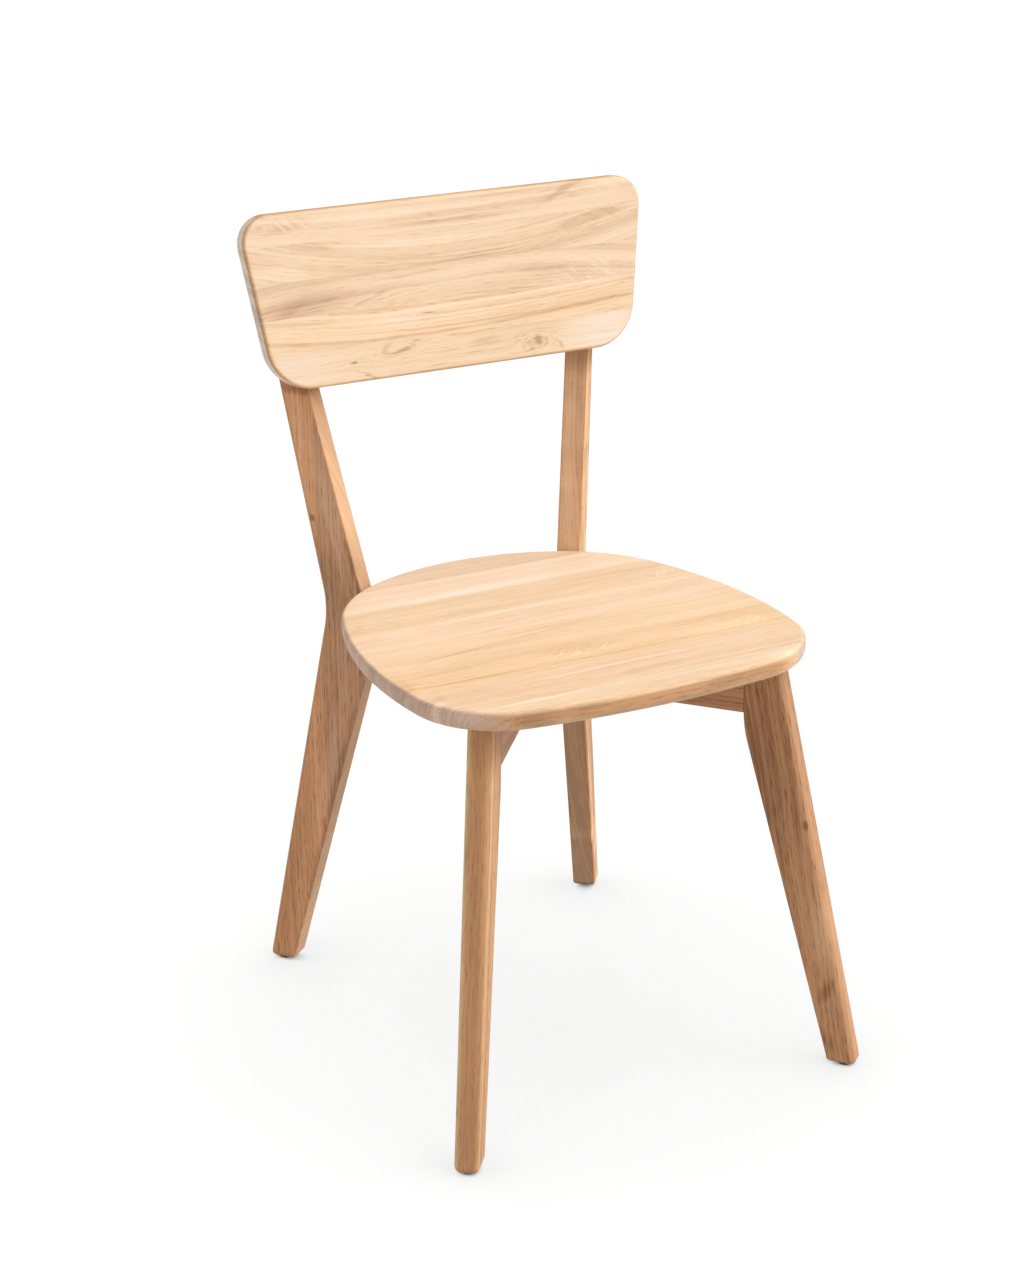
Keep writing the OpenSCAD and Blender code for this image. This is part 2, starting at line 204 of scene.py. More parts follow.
def grain_places(tree, middle, x_axis, z_axis, lean, bow):
    """A point's place in mm, as distances along, across and deep, and as a vector that
    follows the fibres: it straightens the log's lean and bow."""
    coord = add_node(tree, "ShaderNodeTexCoord")
    offset = add_node(tree, "ShaderNodeVectorMath", {
        0: coord.outputs["Object"], 1: Vector(middle) * MM}, operation="SUBTRACT").outputs[0]
    x, y, z = (add_node(tree, "ShaderNodeVectorMath", {0: offset, 1: axis / MM},
                        operation="DOT_PRODUCT").outputs["Value"]
               for axis in (x_axis, z_axis.cross(x_axis), z_axis))
    grain = add_node(tree, "ShaderNodeCombineXYZ", {0: x, 1: y, 2: z}).outputs[0]
    drift = add_node(tree, "ShaderNodeMath", {0: x, 1: bow, 2: lean}, operation="MULTIPLY_ADD")
    drift = add_node(tree, "ShaderNodeMath", {0: x, 1: drift.outputs[0]}, operation="MULTIPLY")
    drift = add_node(tree, "ShaderNodeCombineXYZ", {"Y": drift.outputs[0]})
    fibre = add_node(tree, "ShaderNodeVectorMath", {0: grain, 1: drift.outputs[0]},
                     operation="SUBTRACT").outputs[0]
    return x, y, z, fibre


def ring_radius(tree, x, fibre, torn, pith, dive, wander, knots, seed):
    """Distance from the pith in mm, with the log's waves, and swollen round the knots."""
    arm = add_node(tree, "ShaderNodeVectorMath", {
        0: fibre, 1: (0, 1, 1), 2: (0, -pith[0], -pith[1])}, operation="MULTIPLY_ADD").outputs[0]
    sunk = add_node(tree, "ShaderNodeMath", {0: x, 1: -dive}, operation="MULTIPLY")
    sunk = add_node(tree, "ShaderNodeCombineXYZ", {"Z": sunk.outputs[0]})
    arm = add_node(tree, "ShaderNodeVectorMath", {0: arm, 1: sunk.outputs[0]}, operation="ADD")
    radius = add_node(tree, "ShaderNodeVectorMath", {0: arm.outputs[0]},
                      operation="LENGTH").outputs["Value"]
    waves = patterned(tree, fibre, WANDER_MM, 2.0, seed)
    radius = add_node(tree, "ShaderNodeMath", {0: waves, 1: wander, 2: radius},
                      operation="MULTIPLY_ADD").outputs[0]
    for *spot, strength in knots:
        swell = add_node(tree, "ShaderNodeMapRange", {
            "Value": spot_gap(tree, fibre, torn, spot, 0.3), "From Min": 0.0, "From Max": 1.0,
            "To Min": strength, "To Max": 0.0}, interpolation_type="SMOOTHERSTEP").outputs[0]
        radius = add_node(tree, "ShaderNodeMath", {0: radius, 1: swell}, operation="ADD").outputs[0]
    return radius


def grown_tone(tree, fibre, radius, band, ring, cloud, cloud_size, seed):
    """Broad bands, rings and clouds summed into one tone about 0.5, and the rings alone."""
    tone = 0.5
    for strength, size in ((band, BAND_MM), (ring, RING_MM)):
        step = add_node(tree, "ShaderNodeMath", {0: radius, 1: 1 / size, 2: seed},
                        operation="MULTIPLY_ADD").outputs[0]
        stripe = add_node(tree, "ShaderNodeTexNoise", {"W": step, "Scale": 1.0, "Detail": 1.5},
                          noise_dimensions="1D").outputs["Fac"]
        shift = add_node(tree, "ShaderNodeMath", {0: stripe, 1: 0.5},
                         operation="SUBTRACT").outputs[0]
        tone = add_node(tree, "ShaderNodeMath", {0: shift, 1: strength, 2: tone},
                        operation="MULTIPLY_ADD").outputs[0]
    shift = add_node(tree, "ShaderNodeMath", {
        0: patterned(tree, fibre, cloud_size, 3.0, seed), 1: 0.5}, operation="SUBTRACT").outputs[0]
    tone = add_node(tree, "ShaderNodeMath", {0: shift, 1: cloud, 2: tone},
                    operation="MULTIPLY_ADD").outputs[0]
    return tone, stripe


def pored_tone(tree, fibre, tone, stripe, pore, edge_pore, z_axis, seed):
    """The tone with pores, which are darkest in the spring wood, the low part of each ring."""
    deep = add_node(tree, "ShaderNodeMapRange", {
        "Value": stripe, "From Min": 0.4, "From Max": 0.62, "To Min": -1.6 * pore,
        "To Max": -0.4 * pore}).outputs[0]
    if edge_pore < 1:
        deep = add_node(tree, "ShaderNodeMath", {
            0: deep, 1: looks_along(tree, z_axis, 0.2, 0.8, edge_pore)},
            operation="MULTIPLY").outputs[0]
    dash = add_node(tree, "ShaderNodeMapRange", {
        "Value": patterned(tree, fibre, PORE_MM, 1.0, seed), "From Min": 0.5,
        "From Max": 0.72}).outputs[0]
    return add_node(tree, "ShaderNodeMath", {0: dash, 1: deep, 2: tone},
                    operation="MULTIPLY_ADD").outputs[0]


def marked_tone(tree, fibre, torn, tone, marks, rays):
    """The tone with its streaks, stains and painted shade, and with patches of slanting ray flecks.
    """
    for *spot, strength in marks:
        # The sides of all marks waver by as much, except that narrow ones must stay whole.
        waver = min(2.2, 12.0 / spot[3])
        streak_and_shade = add_node(tree, "ShaderNodeMapRange", {
            "Value": spot_gap(tree, fibre, torn, spot, waver), "From Min": 0.15,
            "From Max": 1.0, "To Min": strength, "To Max": 0.0},
            interpolation_type="SMOOTHSTEP").outputs[0]
        tone = add_node(tree, "ShaderNodeMath", {0: tone, 1: streak_and_shade}, operation="ADD").outputs[0]
    for *spot, turn, strength in rays:
        # The patch lies along the grain, and only the flecks in it are turned.
        patch = add_node(tree, "ShaderNodeMapRange", {
            "Value": spot_gap(tree, fibre, torn, spot + [0.0], 0.8), "From Min": 0.4,
            "From Max": 1.0, "To Min": strength, "To Max": 0.0},
            interpolation_type="SMOOTHSTEP").outputs[0]
        crossed = add_node(tree, "ShaderNodeMapping", {
            "Vector": fibre, "Rotation": (0, 0, math.radians(turn)), "Scale": RAY_MM},
            vector_type="TEXTURE").outputs[0]
        fleck = add_node(tree, "ShaderNodeTexNoise", {
            "Vector": crossed, "Scale": 1.0, "Detail": 1.0, "Distortion": 0.5}).outputs["Fac"]
        fleck = add_node(tree, "ShaderNodeMapRange", {
            "Value": fleck, "From Min": 0.48, "From Max": 0.66}).outputs[0]
        tone = add_node(tree, "ShaderNodeMath", {0: fleck, 1: patch, 2: tone},
                        operation="MULTIPLY_ADD").outputs[0]
    return tone


def sanded_edges(tree, colour, sawn, z, torn, shade, edge, end, arris):
    """Colours the narrow edges with the edge stops, which hold painted light on some pieces, and
    rounds off where they meet the end grain.

    Returns the side colour, the end grain's colour and the share of end grain."""
    half, rounding, stops = edge
    across = add_node(tree, "ShaderNodeMapRange", {
        "Value": z, "From Min": -half, "From Max": half}).outputs[0]
    stain_and_painted_light = add_node(tree, "ShaderNodeValToRGB", {"Fac": across})
    set_stops(stain_and_painted_light, [(share, linear(code)) for share, code in stops])
    stain_and_painted_light = add_node(tree, "ShaderNodeVectorMath", {0: stain_and_painted_light.outputs["Color"], 3: shade},
                     operation="SCALE").outputs[0]
    depth = add_node(tree, "ShaderNodeMath", {0: z}, operation="ABSOLUTE").outputs[0]
    rim = add_node(tree, "ShaderNodeMapRange", {
        "Value": depth, "From Min": half - 0.1, "From Max": half - 0.8}).outputs[0]
    colour = add_node(tree, "ShaderNodeMix", {
        "Factor": rim, "A": colour, "B": stain_and_painted_light}, data_type="RGBA").outputs["Result"]
    inside = add_node(tree, "ShaderNodeMapRange", {
        "Value": depth, "From Min": half - 0.7 * rounding,
        "From Max": half - 1.1 * rounding}).outputs[0]
    if arris:
        end_grain = add_node(tree, "ShaderNodeMix", {
            "Factor": inside, "A": linear(arris), "B": linear(end)},
            data_type="RGBA").outputs["Result"]
        return colour, end_grain, sawn
    # The sanded rounding is tinted here and there: golden, with a thin broken dark line behind it.
    tinted_patches = add_node(tree, "ShaderNodeMapRange", {
        "Value": torn, "From Min": -0.1, "From Max": 0.08, "To Min": 0.1}).outputs[0]
    tinted_patches = add_node(tree, "ShaderNodeMath", {0: tinted_patches, 1: sawn},
                      operation="MULTIPLY").outputs[0]
    for share, width, tint in ((0.35, 0.4, "#f7e7c8"), (1.05, 0.15, "#cdb4a0")):
        crease = add_node(tree, "ShaderNodeMath", {
            0: depth, 1: half - share * rounding, 2: width * rounding},
            operation="COMPARE").outputs[0]
        crease = add_node(tree, "ShaderNodeMath", {0: crease, 1: tinted_patches},
                          operation="MULTIPLY").outputs[0]
        colour = add_node(tree, "ShaderNodeMix", {
            "Factor": crease, "A": colour, "B": linear(tint)}, data_type="RGBA",
            blend_type="MULTIPLY").outputs["Result"]
    sawn = add_node(tree, "ShaderNodeMath", {0: sawn, 1: inside}, operation="MULTIPLY").outputs[0]
    return colour, linear(end)[:3], sawn


def oak(name, colours, middle, along, face, pith=(-90.0, -25.0), lean=(0.0, 0.0), bow=0.0,
        wander=12.0, ring=0.24, band=0.3, cloud=0.3, cloud_size=CLOUD_MM, pore=0.14,
        edge_pore=1.0, marks=(), knots=(), rays=(), edge=None, end="#e6d3c2", arris=None,
        contrast=0.7, split=None, seed=0.0):
    """Oak of (light, mid, dark) hex colours, its grain along one direction.

    pith is where the ring centre lies across the board and behind its face, in mm; lean is
    how fast it drifts along the grain and bow how it curves. wander is how far the log waves,
    in mm, and ring, band, cloud and pore are how strongly each of them shows. edge_pore is the
    share of the pores that show on faces sawn across the slant of the grain. marks (streaks
    and stains, and painted shade where a comment says so), knots and rays are (along, across,
    half length, half width, turn in degrees, strength) on the face. edge is (half thickness,
    rounding, (share of the thickness, colour) from the back to the face), and contrast how
    strongly the figure shows there. end is the colour of the end grain and arris that of its
    rounded edges. split is (across, tint) of a second glued stave on the near side."""
    material, tree = new_material(name)
    x_axis, z_axis = Vector(along).normalized(), Vector(face).normalized()
    x, y, z, fibre = grain_places(tree, middle, x_axis, z_axis, lean[0], bow)
    torn = patterned(tree, fibre, RAGGED_MM, 2.0, seed)
    torn = add_node(tree, "ShaderNodeMath", {0: torn, 1: 0.5}, operation="SUBTRACT").outputs[0]

    radius = ring_radius(tree, x, fibre, torn, pith, lean[1], wander, knots, seed)
    if split:
        second = add_node(tree, "ShaderNodeMath", {0: y, 1: split[0]},
                          operation="LESS_THAN").outputs[0]
        radius = add_node(tree, "ShaderNodeMath", {0: second, 1: OTHER_STAVE_MM, 2: radius},
                          operation="MULTIPLY_ADD").outputs[0]
    tone, stripe = grown_tone(tree, fibre, radius, band, ring, cloud, cloud_size, seed)
    tone = pored_tone(tree, fibre, tone, stripe, pore, edge_pore, z_axis, seed)
    tone = marked_tone(tree, fibre, torn, tone, marks, rays)

    light, mid, dark = (linear(c) for c in colours)
    ramp = add_node(tree, "ShaderNodeValToRGB", {"Fac": tone})
    set_stops(ramp, ((0.15, dark), (0.5, mid), (0.8, light)))
    colour = ramp.outputs["Color"]
    if split:
        colour = add_node(tree, "ShaderNodeMix", {
            "Factor": second, "A": colour, "B": linear(split[1])}, data_type="RGBA",
            blend_type="MULTIPLY").outputs["Result"]

    # Faces that look along the grain show end grain, and the figure shades it and the edges.
    shade = add_node(tree, "ShaderNodeMapRange", {
        "Value": tone, "From Min": 0.0, "From Max": 0.8, "To Min": EDGE_LEVEL - 0.5 * contrast,
        "To Max": EDGE_LEVEL + 0.3 * contrast}).outputs[0]
    sawn = looks_along(tree, x_axis, 0.3, 0.66)
    end_grain = linear(end)[:3]
    if edge:
        colour, end_grain, sawn = sanded_edges(tree, colour, sawn, z, torn, shade, edge, end,
                                               arris)
    ends = add_node(tree, "ShaderNodeVectorMath", {0: end_grain, 3: shade},
                    operation="SCALE").outputs[0]
    colour = add_node(tree, "ShaderNodeMix", {"Factor": sawn, "A": colour, "B": ends},
                      data_type="RGBA").outputs["Result"]

    # Dark, open wood is a little rougher and lower than the dense wood between.
    rough = add_node(tree, "ShaderNodeMapRange", {
        "Value": tone, "From Min": 0.2, "From Max": 0.8, "To Min": 0.62, "To Max": 0.5}).outputs[0]
    bump = add_node(tree, "ShaderNodeBump", {"Height": tone, "Strength": 0.25, "Distance": 0.0004})
    shader = add_node(tree, "ShaderNodeBsdfPrincipled", {
        "Base Color": colour, "Roughness": rough, "IOR": 1.48, "Specular IOR Level": 0.42,
        "Normal": bump.outputs[0]})
    add_node(tree, "ShaderNodeOutputMaterial", {"Surface": shader.outputs[0]})
    return material


def on_arris(a, b):
    """True for an edge along a leg's length, where a wide face meets a narrow one."""
    return (abs(a.y - b.y) < CLOSE and abs(abs(a.y) - board_t / 2) < CLOSE
            and abs(a.z - b.z) > 0.5)


# A lengthwise edge this near a leg's inner side, or this far from it, is an inner or outer one.
inner_within, outer_beyond = 2.0, 20.0
front_corner_z = rail_z - joint_blend
front_slant = math.atan2(front_foot_out - front_top_out, seat_under)
# Where the marks of its figure are counted from, in the leg's own frame.
front_figure_middle = Vector((front_joint + 60, 0, 214))
# For the left leg (-1) and the right one (1): colours, figure, stains and painted shade.
front_looks = {
    -1: dict(colours=("#ecbe92", "#d4a372", "#9e7248"), pore=0.34, ring=0.5, band=0.5, cloud=0.4,
             # Edge colours from the back; the two lightest stops are a painted highlight along the
             # outer end's rounding there.
             edge=(board_t / 2, outer_round, (
                 (0.02, "#ffe2b4"), (0.1, "#fbcf9e"), (0.24, "#d6a476"), (0.4, "#cb9568"),
                 (0.7, "#cc966a"), (0.9, "#cd9a6c"), (0.98, "#dcad7e"))),
             marks=((0, 2, 260, 7, 0, -0.1), (60, 32, 240, 9, 0, 0.06),
                    # (192, ...) is painted shade from the seat on the leg's top.
                    (-170, 10, 150, 50, 0, -0.09), (192, 4, 36, 34, 0, -0.2),
                    (120, 2, 110, 26, 0, 0.08))),
    1: dict(colours=("#dfb38b", "#ca986e", "#8b6040"), pore=0.23, ring=0.28, band=0.34, marks=(
        # (160, ...) is painted shade from the seat, darkening the wide face towards its top.
        (160, -10, 210, 44, 0, -0.1), (110, -22, 150, 9, -3.5, -0.14), (100, 9, 130, 6, 0, -0.12),
        (46, 16, 8, 4, 0, -0.4), (-135, 9, 22, 9, 30, -0.24), (-190, 2, 22, 10, -20, -0.16),
        (40, 29, 240, 7, 0, 0.3), (-70, 14, 60, 14, 4, 0.22), (120, -6, 130, 20, 0, -0.1)))}


def front_inner(z):
    """Reach of a front leg's inner edge at height z."""
    slope = (front_foot_in - front_joint) / front_corner_z
    return max(front_joint, front_foot_in - slope * z)


for side, name in ((-1, "front_left_leg"), (1, "front_right_leg")):
    foot_out = front_foot_out - math.tan(front_slant) * sole_z
    bm = board([(front_inner(sole_z), sole_z), (foot_out, sole_z), (front_top_out, seat_under),
                (front_joint, seat_under), (front_joint, front_corner_z)])
    round_edges(bm, joint_blend, 6, at_height(front_corner_z))
    round_edges(bm, outer_round, 8, lambda a, b: on_arris(a, b)
                and min(a.x - front_inner(a.z), b.x - front_inner(b.z)) > outer_beyond)
    round_edges(bm, foot_round, 6, at_height(sole_z))
    round_edges(bm, inner_ease, 3, lambda a, b: on_arris(a, b)
                and max(a.x - front_inner(a.z), b.x - front_inner(b.z)) < inner_within)
    place = diagonal(side, -1)
    turned = place.to_3x3()
    finish_piece(bm, name + "_oak", [name], oak(
        "oiled_oak_" + name, middle=place @ front_figure_middle,
        along=turned @ Vector((-math.sin(front_slant), 0, math.cos(front_slant))),
        face=turned @ Vector((0, 1, 0)), pith=(50.0, 30.0 * side), lean=(0.02, 0.03),
        end="#b8977a", seed=3.1 + side, **front_looks[side]), place)


# ---- Rear legs -----------------------------------------------------------
# Each is one angled board that is the leg below the seat and the backrest's post above it,
# sawn out of a wide blank, so its grain stands upright. The left one's blank is two staves.

knee_z, knee_out, knee_blend = 424.0, 231.0, 20.0
rear_joint, post_in, post_top_out = 184.5, 244.4, 303.0
post_top_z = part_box("rear_left_leg")[1].z / MM
post_bevel, flare_drop, flare_len = 7.0, 8.0, 14.0
# How far the tint of the sanded edges reaches in over a rear leg's inner side.
rear_arris = 3.0
blank_joint = 238.0
rear_figure_middle = Vector((blank_joint, 0, 400))

# The backrest's place and thickness, which the posts are cut to.
back_lean = math.radians(8.4)
back_bottom_z, back_front_y, back_t = 665.0, 173.0, 22.0
rear_looks = {
    -1: dict(colours=("#f3c49d", "#e2a77a", "#a87851"), pith=(-80.0, 34.0), pore=0.25, ring=0.34,
             edge_pore=0.25, split=(0.0, "#e9f3ff"), edge=(board_t / 2, rear_arris, (
                 (0.02, "#e0b484"), (0.1, "#e6ba92"), (0.9, "#e6ba92"), (0.98, "#cf9860"))),
             marks=((122, 2, 5, 2.5, 0, -0.6), (-300, 52, 130, 14, -11, -0.14),
                    (60, -30, 150, 5, 12, 0.14), (-40, -12, 200, 4, 2, -0.1),
                    (130, -22, 130, 14, 14.5, 0.12), (170, 8, 190, 26, 11, 0.14),
                    (55, -47, 80, 7, 14.5, -0.36), (50, -24, 90, 28, 12, -0.2),
                    # (-207, ...) is painted shade from the seat over the lower inner edge, and (259,
                    # ...) below is painted shade from the backrest on the post's top.
                    (-160, -2, 130, 14, -13, 0.17), (-207, -1, 210, 7, -15.9, -0.24),
                    (259, 5, 10, 40, 0, -0.4))),
    1: dict(colours=("#f4cea0", "#e8ba8a", "#a0704a"), pith=(-10.0, -70.0), pore=0.22, ring=0.42,
            edge_pore=0.6, cloud=0.5, cloud_size=(44.0, 12.0, 8.0), edge=(
                board_t / 2, rear_arris, ((0.02, "#e8a264"), (0.1, "#e6b790"),
                                          (0.9, "#e6be98"), (0.98, "#e8a264"))),
            # (-207, ...) is painted shade from the seat over the lower inner edge, and (254, ...)
            # painted shade from the backrest on the post's top.
            marks=((-207, -1, 420, 10, -15.9, -0.44), (254, 6, 30, 60, 0, -0.3),
                   (-390, 50, 70, 60, 0, -0.1), (-322, 30, 12, 60, 0, 0.16),
                   (-200, 26, 160, 20, -15, -0.2), (150, -20, 13, 60, 0, -0.1),
                   (118, -28, 12, 60, 0, 0.1), (214, -6, 16, 60, 0, -0.06)))}


def bevel_in(z):
    """Reach of the post's front edge where it stands proud of the backrest's rear face."""
    rise = (back_t - post_bevel + (z - back_bottom_z) * math.sin(back_lean)) / math.cos(back_lean)
    return ((rise + back_front_y - cross_y + board_t / 2 * math.sin(diagonal_angle))
            / math.cos(diagonal_angle))


def rear_inner(z):
    """Reach of a rear leg's inner edge at height z, up to the flare."""
    if z < seat_under:
        slope = (rear_foot_in - rear_joint) / front_corner_z
        return max(rear_joint, rear_foot_in - slope * z)
    return rear_joint + (post_in - rear_joint) * (z - seat_under) / (back_bottom_z - seat_under)


flare_z = back_bottom_z - flare_drop
back_place = (Matrix.Translation((0, back_front_y, back_bottom_z))
              @ Matrix.Rotation(-back_lean, 4, "X"))

for side, name in ((-1, "rear_left_leg"), (1, "rear_right_leg")):
    foot_out = rear_foot_out - (rear_foot_out - knee_out) / knee_z * sole_z
    bm = board([(rear_inner(sole_z), sole_z), (foot_out, sole_z), (knee_out, knee_z),
                (post_top_out, post_top_z), (bevel_in(post_top_z), post_top_z),
                (bevel_in(flare_z + flare_len), flare_z + flare_len),
                (rear_inner(flare_z), flare_z), (rear_joint, seat_under),
                (rear_joint, front_corner_z)])
    round_edges(bm, joint_blend, 6, at_height(front_corner_z))
    round_edges(bm, knee_blend, 8, lambda a, b: at_height(knee_z)(a, b)
                and min(a.x, b.x) > knee_out - 1)
    round_edges(bm, outer_round, 8, lambda a, b: on_arris(a, b)
                and min(a.x - rear_inner(a.z), b.x - rear_inner(b.z)) > outer_beyond)
    for end_z in (sole_z, post_top_z):
        round_edges(bm, foot_round, 6, at_height(end_z))
    round_edges(bm, inner_ease, 3, lambda a, b: on_arris(a, b)
                and max(a.z, b.z) < flare_z + CLOSE
                and max(a.x - rear_inner(a.z), b.x - rear_inner(b.z)) < inner_within)
    place = diagonal(side, 1)
    # Saws the post's front flat where the backrest lies against it.
    rest = back_place @ Vector((0, back_t, 0))
    rest_normal = back_place.to_3x3() @ Vector((0, 1, 0))
    to_leg = place.inverted()
    bmesh.ops.bisect_plane(bm, geom=bm.verts[:] + bm.edges[:] + bm.faces[:], dist=0.001,
                           plane_co=(0, 0, flare_z), plane_no=(0, 0, 1))
    above = [f for f in bm.faces if f.calc_center_median().z > flare_z]
    geom = set(above) | {e for f in above for e in f.edges} | {v for f in above for v in f.verts}
    cut = bmesh.ops.bisect_plane(bm, geom=list(geom), dist=0.001, plane_co=to_leg @ rest,
                                 plane_no=to_leg.to_3x3() @ rest_normal, clear_inner=True)
    rim = [e for e in cut["geom_cut"] if isinstance(e, bmesh.types.BMEdge) and e.is_boundary]
    bmesh.ops.contextual_create(bm, geom=rim)
    bmesh.ops.recalc_face_normals(bm, faces=bm.faces[:])
    finish_piece(bm, name + "_oak", [name], oak(
        "oiled_oak_" + name, middle=place @ rear_figure_middle, along=(0, 0, 1),
        face=place.to_3x3() @ Vector((0, 1, 0)), lean=(0.02, 0.02),
        end="#b8977a", seed=7.3 + side, **rear_looks[side]), place)


# ---- Rails ---------------------------------------------------------------
# Two straight rails of the legs' oak, planed and oiled. They cross under the seat in a half
# lap and butt against the legs, where dowels hold them.

rail_figure_middle = Vector((0, cross_y, rail_z + 26))


def refinish(node, material):
    """Gives a CAD node this material and no other."""
    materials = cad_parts[node].data.materials
    materials.clear()
    materials.append(material)


for side, name in ((-1, "left_front_rail"), (1, "right_front_rail")):
    turned = diagonal(side, -1).to_3x3()
    refinish(name, oak(
        "oiled_oak_" + name, colours=("#d2a780", "#c0916c", "#8b6447"),
        middle=rail_figure_middle, along=turned @ Vector((1, 0, 0)),
        face=turned @ Vector((0, 1, 0)), pith=(-40.0, 32.0), lean=(0.02, 0.02), pore=0.25,
        end="#b8977a", seed=11.7 + side))


# ---- Seat ----------------------------------------------------------------
# Eight oak staves edge-glued into one panel with their grain from side to side, sawn to a
# rounded outline, eased above and rounded well over below. Each stave has its own tone and figure.

seat_w, seat_d = 432.0, 426.0
seat_round_over, seat_round_under = 4.5, 11.5
seat_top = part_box("seat_stave_4")[1].z / MM
seat_front_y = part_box("seat_stave_8")[0].y / MM
# The half outline's arcs from the front: radius, where it ends in degrees from +X, and steps.
# The last one's radius is what brings it to the middle.
seat_arcs = ((940.0, -82.0, 8), (96.0, -7.0, 24), (460.0, 21.5, 12), (158.0, 64.0, 16),
             (None, 90.0, 16))


def seat_panel():
    """The whole seat panel, its front edge at y = 0 and its underside at z = 0."""
    bm = bmesh.new()
    tip = [bm.verts.new((0, 0, 0))]
    # Each arc's centre lies on the line from the last one's through its end, so they run on
    # smoothly.
    centre, before, radius = Vector((0, seat_arcs[0][0], 0)), -90.0, seat_arcs[0][0]
    for new_radius, until, steps in seat_arcs:
        out = Vector((math.cos(math.radians(before)), math.sin(math.radians(before)), 0))
        if new_radius is None:
            new_radius = radius + centre.x / out.x
        centre += (radius - new_radius) * out
        radius = new_radius
        tip = bmesh.ops.spin(bm, geom=tip, cent=centre, axis=(0, 0, 1), steps=steps,
                             angle=math.radians(until - before))["geom_last"]
        before = until
    wide = max(v.co.x for v in bm.verts)
    deep = max(v.co.y for v in bm.verts)
    bmesh.ops.scale(bm, vec=(seat_w / 2 / wide, seat_d / deep, 1), verts=bm.verts[:])
    bmesh.ops.mirror(bm, geom=bm.verts[:] + bm.edges[:], axis="X", merge_dist=CLOSE)
    bmesh.ops.remove_doubles(bm, verts=bm.verts[:], dist=CLOSE)
    bmesh.ops.contextual_create(bm, geom=bm.edges[:])
    swept = bmesh.ops.extrude_face_region(bm, geom=bm.faces[:])["geom"]
    raised = [v for v in swept if isinstance(v, bmesh.types.BMVert)]
    bmesh.ops.translate(bm, verts=raised, vec=(0, 0, seat_top - seat_under))
    bmesh.ops.recalc_face_normals(bm, faces=bm.faces[:])
    round_edges(bm, seat_round_under, 10, at_height(0))
    round_edges(bm, seat_round_over, 6, at_height(seat_top - seat_under))
    return bm


def cut_stave(panel, axis, low, high):
    """The stretch of a panel between two saw cuts square to the axis."""
    bm = panel.copy()
    for level, way in ((low, -1), (high, 1)):
        if level is None:
            continue
        cut = bmesh.ops.bisect_plane(bm, geom=bm.verts[:] + bm.edges[:] + bm.faces[:],
                                     dist=0.001, plane_co=axis * level, plane_no=axis * way,
                                     clear_outer=True)
        rim = [e for e in cut["geom_cut"] if isinstance(e, bmesh.types.BMEdge)]
        bmesh.ops.contextual_create(bm, geom=rim)
    bmesh.ops.recalc_face_normals(bm, faces=bm.faces[:])
    return bm


# The seat's edge colours from the underside up; the lighter stops low down are painted light,
# standing in for light thrown up from the floor.
seat_edge = ((seat_top - seat_under) / 2, seat_round_over, (
    (0.02, "#f4d0a8"), (0.3, "#eec296"), (0.45, "#e3b182"), (0.62, "#dba476"), (0.8, "#dcb084"),
    (0.97, "#f8d4a4")))
# Per stave from the rear: colours and figure.
seat_looks = [
    dict(colours=("#f6e0c7", "#ecccaa", "#cba983"), marks=(
        (50, -6, 70, 9, 3, -0.08), (-40, 10, 60, 5, -4, 0.04))),
    dict(colours=("#fdf1e0", "#f8dbbc", "#e0bb95"), marks=(
        (0, -20, 260, 11, 0.5, 0.16), (110, 16, 40, 9, 0, -0.08), (-60, 12, 120, 8, 0, -0.04))),
    dict(colours=("#fbe6cd", "#f1d0aa", "#d3ac83"), marks=(
        (-214, 0, 12, 30, 0, 0.08),
        (-70, -18, 70, 7, 0, -0.11), (110, 15, 80, 3, 0, -0.08), (-120, 20, 60, 5, 0, -0.04),
        (70, -12, 60, 3, 14, 0.09), (0, 4, 90, 3, 2, -0.05)),
        rays=((-165, -12, 40, 20, -48, -0.12), (172, -10, 30, 18, 52, 0.17))),
    dict(colours=("#fdeedb", "#f6d6b5", "#dab28b"), marks=(
        (-216, 0, 12, 30, 0, 0.07),
        (-20, 23, 170, 2.5, 0, 0.12), (-65, -20, 52, 1.8, 7.6, -0.18), (25, -14, 60, 2, 1, -0.06),
        (-150, 12, 40, 12, 0, 0.08), (130, -20, 70, 6, 0, 0.06))),
    dict(colours=("#fde9cc", "#f4d3ac", "#d3aa7f"), marks=(
        (-214, -6, 10, 24, 0, -0.07),
        (-130, -5, 84, 1.8, 8.1, -0.21), (-25, 9, 48, 1.8, 5, -0.2), (90, -22, 110, 4, 0, 0.08),
        (40, 12, 100, 4, 2, -0.04))),
    dict(colours=("#fdebc8", "#f3cfa4", "#cfa473"), marks=(
        (-208, 0, 12, 30, 0, -0.11),
        (-130, -14, 84, 1.8, 0, -0.2), (-10, 8, 70, 14, 0, -0.15), (-150, 16, 70, 6, 0, -0.11),
        (140, -6, 70, 16, 0, 0.08)), rays=((-14, 2, 60, 16, 36, 0.15), (172, -6, 26, 18, 50, 0.14))),
    dict(colours=("#fef0d9", "#f1cea9", "#d1a885"), marks=(
        (-192, 14, 12, 8, 0, -0.12), (-202, 0, 16, 7, 0, 0.18),
        (0, 12, 250, 4, 1.2, 0.15), (20, -12, 66, 8, 2, -0.12), (-120, -4, 80, 4, 0, -0.06),
        (110, -20, 70, 3, 0, 0.06))),
    dict(colours=("#faefde", "#f4d6b3", "#d4ab83"), pith=(-30, -70), marks=(
        (135, -20, 52, 3, 8, -0.24), (20, -27, 44, 2.5, 1, -0.16), (-70, -25, 34, 3, -4, 0.14),
        (-110, 13, 76, 3, 0, 0.22), (60, 4, 130, 5, 0, 0.08), (0, -14, 170, 3, 0, -0.09),
        (160, 2, 36, 14, 0, 0.15), (-130, -8, 36, 8, 0, -0.12)))]
panel = seat_panel()
